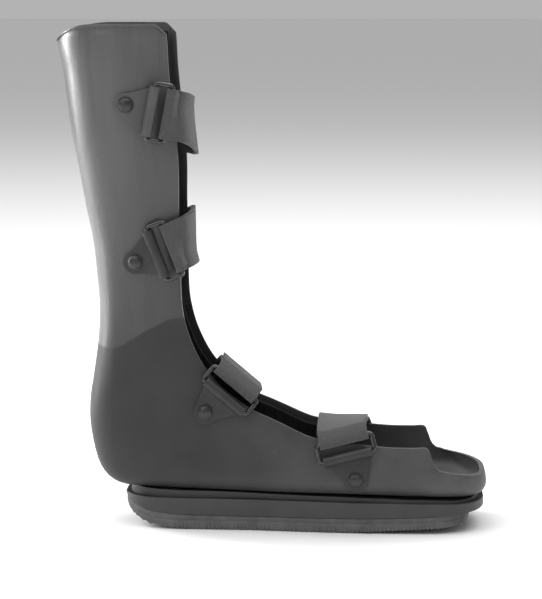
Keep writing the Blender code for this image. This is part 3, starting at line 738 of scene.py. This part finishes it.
def build_rivet(name, point, normal, finish, sides=36):
    """A domed rivet head with a thin flat edge that stands on a point, along a normal."""
    axis = Vector(normal).normalized()
    first = axis.orthogonal().normalized()
    second = axis.cross(first)
    dome = RIVET_RADIUS * 0.86
    rings = [(RIVET_RADIUS * 0.96, 0.0), (RIVET_RADIUS, RIVET_EDGE * 0.4), (RIVET_RADIUS * 0.97, RIVET_EDGE * 0.8)]
    rings.append((dome, RIVET_EDGE * 0.9))
    for step in range(1, 9):
        angle = math.pi / 2 * step / 9
        rings.append((dome * math.cos(angle), RIVET_EDGE + (RIVET_HEIGHT - RIVET_EDGE) * math.sin(angle)))
    points = []
    for radius, height in rings:
        for side in range(sides):
            turn = math.tau * side / sides
            points.append(Vector(point) + axis * height + radius * (first * math.cos(turn) + second * math.sin(turn)))
    points.append(Vector(point) + axis * RIVET_HEIGHT)
    faces = [tuple(reversed(range(sides)))]
    for ring in range(len(rings) - 1):
        for side in range(sides):
            after = (side + 1) % sides
            base = ring * sides
            faces.append((base + side, base + after, base + sides + after, base + sides + side))
    top = (len(rings) - 1) * sides
    for side in range(sides):
        faces.append((top + side, top + (side + 1) % sides, len(points) - 1))
    return add_piece(name, points, faces, finish, sharp_angle=math.radians(50))


def surface_normal(tree, point, side):
    _, normal, _, _ = tree.find_nearest(Vector(point))
    return np.array(-normal if normal.y * side < 0 else normal)


def build_fastening(number, row, tree, finishes):
    fastening = Fastening(row, tree)
    tab = fastening.tab_grid()
    tab_side = 1.0 if grid_normals(tab)[1, 2] @ fastening.frame_in > 0 else -1.0
    add_strip(f"riveted_tab_{number}", tab, TAB_THICKNESS, tab_side, finishes["tab"][number - 1])
    place_piece(f"riveted_tab_{number}", "tab_plastic", f"tab_{number}")
    build_buckle(f"wire_buckle_{number}", fastening, finishes["buckle"])
    place_piece(f"wire_buckle_{number}", "buckle_wire", f"buckle_{number}")
    strap = fastening.strap_grid()
    strap_side = 1.0 if grid_normals(strap)[1, 1][1] * FAR < 0 else -1.0
    add_strip(f"webbing_{number}", strap, STRAP_THICKNESS, strap_side, finishes["strap"])
    place_piece(f"webbing_{number}", "webbing", f"strap_{number}")
    offset = fastening.rivet - fastening.centre
    seat = fastening.seat(float(offset @ fastening.forward), float(offset @ fastening.across), NEAR, 0.0)
    normal = surface_normal(tree, seat, NEAR)
    stand = CLOTH_GAP + TAB_THICKNESS
    build_rivet(f"domed_rivet_{number}", seat + normal * stand, normal, finishes["rivet"])
    place_piece(f"domed_rivet_{number}", "rivet_head", f"rivet_{number}")
    far_along = fastening.rim_line(fastening.skew) - fastening.reach + FAR_RIVET_SETBACK
    seat = fastening.seat(far_along, fastening.skew, FAR, 0.0)
    normal = surface_normal(tree, seat, FAR)
    build_rivet(f"far_domed_rivet_{number}", seat + normal * stand, normal, finishes["rivet"])
    place_piece(f"far_domed_rivet_{number}", "rivet_head", f"far_rivet_{number}")


# Finishes

def new_finish(name, colour, roughness):
    made = bpy.data.materials.new(name)
    made.use_nodes = True
    shader = made.node_tree.nodes["Principled BSDF"]
    shader.inputs["Base Color"].default_value = (*colour, 1.0)
    shader.inputs["Roughness"].default_value = roughness
    return made, made.node_tree, shader


def add_node(tree, kind, values=None, **settings):
    """A node with its settings, and with each input set to a value or linked to a socket."""
    made = tree.nodes.new(kind)
    for key, value in settings.items():
        setattr(made, key, value)
    for socket, value in (values or {}).items():
        if isinstance(value, bpy.types.NodeSocket):
            tree.links.new(value, made.inputs[socket])
        else:
            made.inputs[socket].default_value = value
    return made


def math_node(tree, operation, first, second=0.0):
    return add_node(tree, "ShaderNodeMath", {0: first, 1: second}, operation=operation).outputs[0]


def map_range(tree, value, low, high, new_low=0.0, new_high=1.0, smooth=False):
    kind = "SMOOTHSTEP" if smooth else "LINEAR"
    values = {"Value": value, "From Min": low, "From Max": high, "To Min": new_low, "To Max": new_high}
    return add_node(tree, "ShaderNodeMapRange", values, interpolation_type=kind).outputs["Result"]


def object_place(tree, stretch=(1.0, 1.0, 1.0)):
    place = add_node(tree, "ShaderNodeTexCoord").outputs["Object"]
    return add_node(tree, "ShaderNodeMapping", {"Vector": place, "Scale": stretch}).outputs["Vector"]


def noise_value(tree, place, scale, detail=4.0, roughness=0.55):
    values = {"Vector": place, "Scale": scale, "Detail": detail, "Roughness": roughness}
    return add_node(tree, "ShaderNodeTexNoise", values).outputs["Fac"]


def grey_mix(tree, share, low, high):
    values = {"Factor": share, "A": (low, low, low * 1.02, 1.0), "B": (high, high, high * 1.02, 1.0)}
    made = add_node(tree, "ShaderNodeMix", None, data_type="RGBA")
    for socket, value in values.items():
        found = [item for item in made.inputs if item.name == socket and item.enabled][0]
        if isinstance(value, bpy.types.NodeSocket):
            tree.links.new(value, found)
        else:
            found.default_value = value
    return [item for item in made.outputs if item.enabled][0]


def scaled_colour(tree, colour, share):
    """A colour made lighter or darker by a share that changes over the surface."""
    values = {0: colour, 1: share}
    return add_node(tree, "ShaderNodeVectorMath", values, operation="MULTIPLY").outputs["Vector"]


def bump(tree, height, distance, strength=1.0, under=None):
    values = {"Height": height, "Distance": distance, "Strength": strength}
    if under is not None:
        values["Normal"] = under
    return add_node(tree, "ShaderNodeBump", values).outputs["Normal"]


# Where the lighter, glossier leg meets the darker, duller ankle, in metres
FINISH_EDGE_X = (-0.131, -0.0726)
FINISH_EDGE_Z = (0.145, 0.170)
FINISH_EDGE_SOFTNESS = 0.0010


def shell_finish():
    """Satin plastic: glossy on the leg, duller and darker round the ankle. Painted light makes the toe paler and the
    leg lighter towards the top, and painted reflection streaks run up the leg.
    """
    made, tree, shader = new_finish("moulded_plastic_finish", (0.06, 0.06, 0.06), 0.4)
    place = add_node(tree, "ShaderNodeTexCoord").outputs["Object"]
    split = add_node(tree, "ShaderNodeSeparateXYZ", {"Vector": place})
    edge = map_range(tree, split.outputs["X"], *FINISH_EDGE_X, *FINISH_EDGE_Z, smooth=True)
    wander = math_node(tree, "MULTIPLY", noise_value(tree, place, 60.0, 2.0), 0.004)
    above = math_node(tree, "SUBTRACT", math_node(tree, "ADD", split.outputs["Z"], wander), edge)
    leg = map_range(tree, above, 0.002 - FINISH_EDGE_SOFTNESS, 0.002 + FINISH_EDGE_SOFTNESS)
    # Painted light: the foot grows paler towards the toe, standing in for the light that the upward-facing toe
    # catches. The cloudy scuffs multiplied in below are the plastic's own.
    toe = map_range(tree, split.outputs["X"], -0.06, 0.15)
    clouds = noise_value(tree, place, 22.0, 5.0, 0.6)
    specks = noise_value(tree, place, 160.0, 3.0, 0.7)
    foot_scuffs_and_toe_light = grey_mix(tree, toe, 0.016, 0.060)
    foot_tone = math_node(
        tree, "ADD", map_range(tree, clouds, 0.35, 0.70, 0.75, 1.45), map_range(tree, specks, 0.60, 0.80, 0.0, 0.5)
    )
    foot_scuffs_and_toe_light = scaled_colour(tree, foot_scuffs_and_toe_light, foot_tone)
    # Painted light: the leg grows lighter towards the top, as if lit from above, and vertical streaks painted into
    # its colour stand in for streaky reflections. The same streaks also vary the leg's gloss.
    height = map_range(tree, split.outputs["Z"], 0.17, 0.40)
    shin_with_painted_light = grey_mix(tree, height, 0.040, 0.085)
    gloss_and_painted_reflection_streaks = noise_value(tree, object_place(tree, (60.0, 60.0, 5.0)), 1.0, 3.0)
    shin_with_painted_light = scaled_colour(tree, shin_with_painted_light, map_range(tree, gloss_and_painted_reflection_streaks, 0.3, 0.7, 0.85, 1.2))
    mixed = add_node(tree, "ShaderNodeMix", None, data_type="RGBA")
    sockets = {item.name: item for item in mixed.inputs if item.enabled}
    tree.links.new(leg, sockets["Factor"])
    tree.links.new(foot_scuffs_and_toe_light, sockets["A"])
    tree.links.new(shin_with_painted_light, sockets["B"])
    tree.links.new([item for item in mixed.outputs if item.enabled][0], shader.inputs["Base Color"])
    foot_rough = map_range(tree, clouds, 0.3, 0.7, 0.50, 0.62)
    leg_rough = map_range(tree, gloss_and_painted_reflection_streaks, 0.3, 0.7, 0.22, 0.36)
    rough = add_node(tree, "ShaderNodeMix", {0: leg, 2: foot_rough, 3: leg_rough}, data_type="FLOAT").outputs[0]
    tree.links.new(rough, shader.inputs["Roughness"])
    waves = noise_value(tree, object_place(tree, (30.0, 30.0, 5.0)), 1.0, 2.0)
    grain = noise_value(tree, place, 900.0, 2.0)
    low = bump(tree, waves, 0.0012)
    tree.links.new(bump(tree, grain, 0.00006, 0.6, low), shader.inputs["Normal"])
    return made


def lining_and_painted_shade_finish():
    """Black brushed foam, with a grain that runs up the leg. Its near-black colour is partly the foam's own and
    partly painted shade of the boot's deep inside.
    """
    made, tree, shader = new_finish("black_foam_and_painted_shade_finish", (0.006, 0.006, 0.006), 0.95)
    shader.inputs["Sheen Weight"].default_value = 0.15
    shader.inputs["Specular IOR Level"].default_value = 0.2
    grain = noise_value(tree, object_place(tree, (500.0, 500.0, 60.0)), 1.0, 3.0)
    tree.links.new(grey_mix(tree, map_range(tree, grain, 0.3, 0.75), 0.003, 0.012), shader.inputs["Base Color"])
    tree.links.new(bump(tree, grain, 0.0004), shader.inputs["Normal"])
    return made


def midsole_finish():
    made, tree, shader = new_finish("midsole_finish", (0.04, 0.04, 0.04), 0.5)
    place = object_place(tree)
    clouds = noise_value(tree, place, 30.0, 5.0, 0.6)
    tree.links.new(grey_mix(tree, map_range(tree, clouds, 0.3, 0.7), 0.026, 0.050), shader.inputs["Base Color"])
    tree.links.new(map_range(tree, clouds, 0.3, 0.7, 0.45, 0.65), shader.inputs["Roughness"])
    grain = noise_value(tree, place, 700.0, 3.0)
    tree.links.new(bump(tree, grain, 0.0001), shader.inputs["Normal"])
    return made


def rubber_finish():
    """Grey rubber, mottled, and lighter towards the ground."""
    made, tree, shader = new_finish("tread_finish", (0.09, 0.09, 0.09), 0.8)
    place = object_place(tree)
    split = add_node(tree, "ShaderNodeSeparateXYZ", {"Vector": place})
    dust = noise_value(tree, place, 90.0, 6.0, 0.7)
    low = map_range(tree, split.outputs["Z"], 0.012, 0.0, 0.0, 0.35)
    share = math_node(tree, "ADD", map_range(tree, dust, 0.3, 0.75), low)
    tree.links.new(grey_mix(tree, share, 0.060, 0.130), shader.inputs["Base Color"])
    grain = noise_value(tree, place, 1200.0, 3.0)
    tree.links.new(bump(tree, grain, 0.0002), shader.inputs["Normal"])
    return made


WEAVE_ALONG = 0.0013
WEAVE_ACROSS = 0.0017
STITCH_INSET = 0.0030
STITCH_PITCH = 0.0032


def webbing_finish():
    """Woven webbing with a plain weave and one sewn line along each side."""
    made, tree, shader = new_finish("webbing_finish", (0.04, 0.04, 0.04), 0.75)
    shader.inputs["Sheen Weight"].default_value = 0.25
    shader.inputs["Sheen Roughness"].default_value = 0.5
    place = add_node(tree, "ShaderNodeTexCoord").outputs["UV"]
    split = add_node(tree, "ShaderNodeSeparateXYZ", {"Vector": place})
    along = math_node(tree, "SINE", math_node(tree, "MULTIPLY", split.outputs["X"], math.tau / WEAVE_ALONG))
    across = math_node(tree, "SINE", math_node(tree, "MULTIPLY", split.outputs["Y"], math.tau / WEAVE_ACROSS))
    weave = math_node(tree, "MULTIPLY", along, across)
    side = math_node(tree, "ABSOLUTE", split.outputs["Y"])
    from_stitch = math_node(tree, "ABSOLUTE", math_node(tree, "SUBTRACT", side, STRAP_WIDTH / 2 - STITCH_INSET))
    line = map_range(tree, from_stitch, 0.0, 0.0008, 1.0, 0.0)
    pitch = math_node(tree, "SINE", math_node(tree, "MULTIPLY", split.outputs["X"], math.tau / STITCH_PITCH))
    stitch = math_node(tree, "MULTIPLY", line, map_range(tree, pitch, -0.3, 0.3))
    fuzz = noise_value(tree, object_place(tree), 300.0, 4.0)
    tone = math_node(tree, "ADD", map_range(tree, weave, -1.0, 1.0, 0.2, 0.8), map_range(tree, fuzz, 0.3, 0.7, -0.2, 0.2))
    tree.links.new(grey_mix(tree, tone, 0.030, 0.070), shader.inputs["Base Color"])
    low = bump(tree, weave, 0.00025)
    tree.links.new(bump(tree, stitch, 0.0005, 0.7, low), shader.inputs["Normal"])
    return made


def tab_finish(name, dark, pale, roughness):
    made, tree, shader = new_finish(name, (pale, pale, pale), roughness)
    place = object_place(tree)
    clouds = noise_value(tree, place, 60.0, 4.0)
    tree.links.new(grey_mix(tree, map_range(tree, clouds, 0.3, 0.7), dark, pale), shader.inputs["Base Color"])
    grain = noise_value(tree, place, 800.0, 3.0)
    tree.links.new(bump(tree, grain, 0.00015), shader.inputs["Normal"])
    return made


def wire_finish():
    """Gloss black coating, worn a little."""
    made, tree, shader = new_finish("buckle_finish", (0.010, 0.010, 0.010), 0.25)
    place = object_place(tree)
    wear = noise_value(tree, place, 220.0, 5.0, 0.7)
    tree.links.new(grey_mix(tree, map_range(tree, wear, 0.58, 0.72), 0.008, 0.045), shader.inputs["Base Color"])
    tree.links.new(map_range(tree, wear, 0.3, 0.7, 0.16, 0.38), shader.inputs["Roughness"])
    shader.inputs["Coat Weight"].default_value = 0.6
    shader.inputs["Coat Roughness"].default_value = 0.12
    return made


def rivet_finish():
    made, tree, shader = new_finish("rivet_finish", (0.020, 0.020, 0.020), 0.35)
    place = object_place(tree)
    wear = noise_value(tree, place, 400.0, 4.0, 0.6)
    tree.links.new(grey_mix(tree, map_range(tree, wear, 0.45, 0.75), 0.014, 0.040), shader.inputs["Base Color"])
    tree.links.new(map_range(tree, wear, 0.3, 0.7, 0.25, 0.50), shader.inputs["Roughness"])
    return made


# Stage

CAMERA_PLACE = (0.0802, -2.0, 0.430)
CAMERA_AIM = (-0.0019, 0.0, 0.1796)
CAMERA_LENS = 151.2


def add_floor():
    size = 30.0
    mesh = bpy.data.meshes.new("floor")
    mesh.from_pydata([(-size, -size, 0), (size, -size, 0), (size, size, 0), (-size, size, 0)], [], [(0, 1, 2, 3)])
    floor = bpy.data.objects.new("floor", mesh)
    bpy.context.scene.collection.objects.link(floor)
    finish, _, _ = new_finish("floor_finish", (0.92, 0.92, 0.92), 0.9)
    mesh.materials.append(finish)


def add_light(name, place, aim, width, height, watts):
    data = bpy.data.lights.new(name, "AREA")
    data.shape = "RECTANGLE"
    data.size = width
    data.size_y = height
    data.energy = watts
    light = bpy.data.objects.new(name, data)
    light.location = place
    light.rotation_mode = "QUATERNION"
    light.rotation_quaternion = (Vector(aim) - Vector(place)).to_track_quat("-Z", "Y")
    bpy.context.scene.collection.objects.link(light)


def add_lights():
    world = bpy.data.worlds.new("studio")
    world.use_nodes = True
    world.node_tree.nodes["Background"].inputs["Color"].default_value = (1.0, 1.0, 1.0, 1.0)
    world.node_tree.nodes["Background"].inputs["Strength"].default_value = 0.45
    bpy.context.scene.world = world
    add_light("overhead", (0.0, 0.2, 3.0), (0.0, 0.0, 0.0), 5.0, 5.0, 150.0)
    add_light("behind_left", (-1.5, 0.75, 0.75), (-0.1, 0.0, 0.25), 0.5, 1.4, 30.0)
    add_light("front_left", (-1.6, -1.8, 1.6), (0.0, 0.0, 0.2), 1.2, 1.2, 12.0)


def add_camera():
    data = bpy.data.cameras.new("camera")
    data.lens = CAMERA_LENS
    data.sensor_width = 36.0
    camera = bpy.data.objects.new("camera", data)
    camera.location = CAMERA_PLACE
    camera.rotation_mode = "QUATERNION"
    camera.rotation_quaternion = (Vector(CAMERA_AIM) - Vector(CAMERA_PLACE)).to_track_quat("-Z", "Y")
    bpy.context.scene.collection.objects.link(camera)
    bpy.context.scene.camera = camera


def main():
    add_camera()
    add_lights()
    add_floor()
    bpy.context.scene.view_settings.view_transform = "Standard"
    shell = build_shell(shell_finish())
    build_lining(lining_and_painted_shade_finish())
    build_midsole(midsole_finish())
    build_outsole(rubber_finish())
    dark_tab = tab_finish("dark_tab_finish", 0.012, 0.024, 0.5)
    # Tab 1 is the same dark plastic as the other tabs. Its paler colour is a painted sheen, the light it catches from
    # the way it faces.
    tab_with_painted_sheen = tab_finish("tab_with_painted_sheen_finish", 0.055, 0.075, 0.42)
    finishes = {
        "tab": (tab_with_painted_sheen, dark_tab, dark_tab, dark_tab),
        "strap": webbing_finish(),
        "buckle": wire_finish(),
        "rivet": rivet_finish(),
    }
    tree = BVHTree.FromPolygons(
        [vertex.co for vertex in shell.data.vertices],
        [tuple(polygon.vertices) for polygon in shell.data.polygons],
    )
    for number, row in enumerate(FASTENINGS, start=1):
        build_fastening(number, row, tree, finishes)


main()
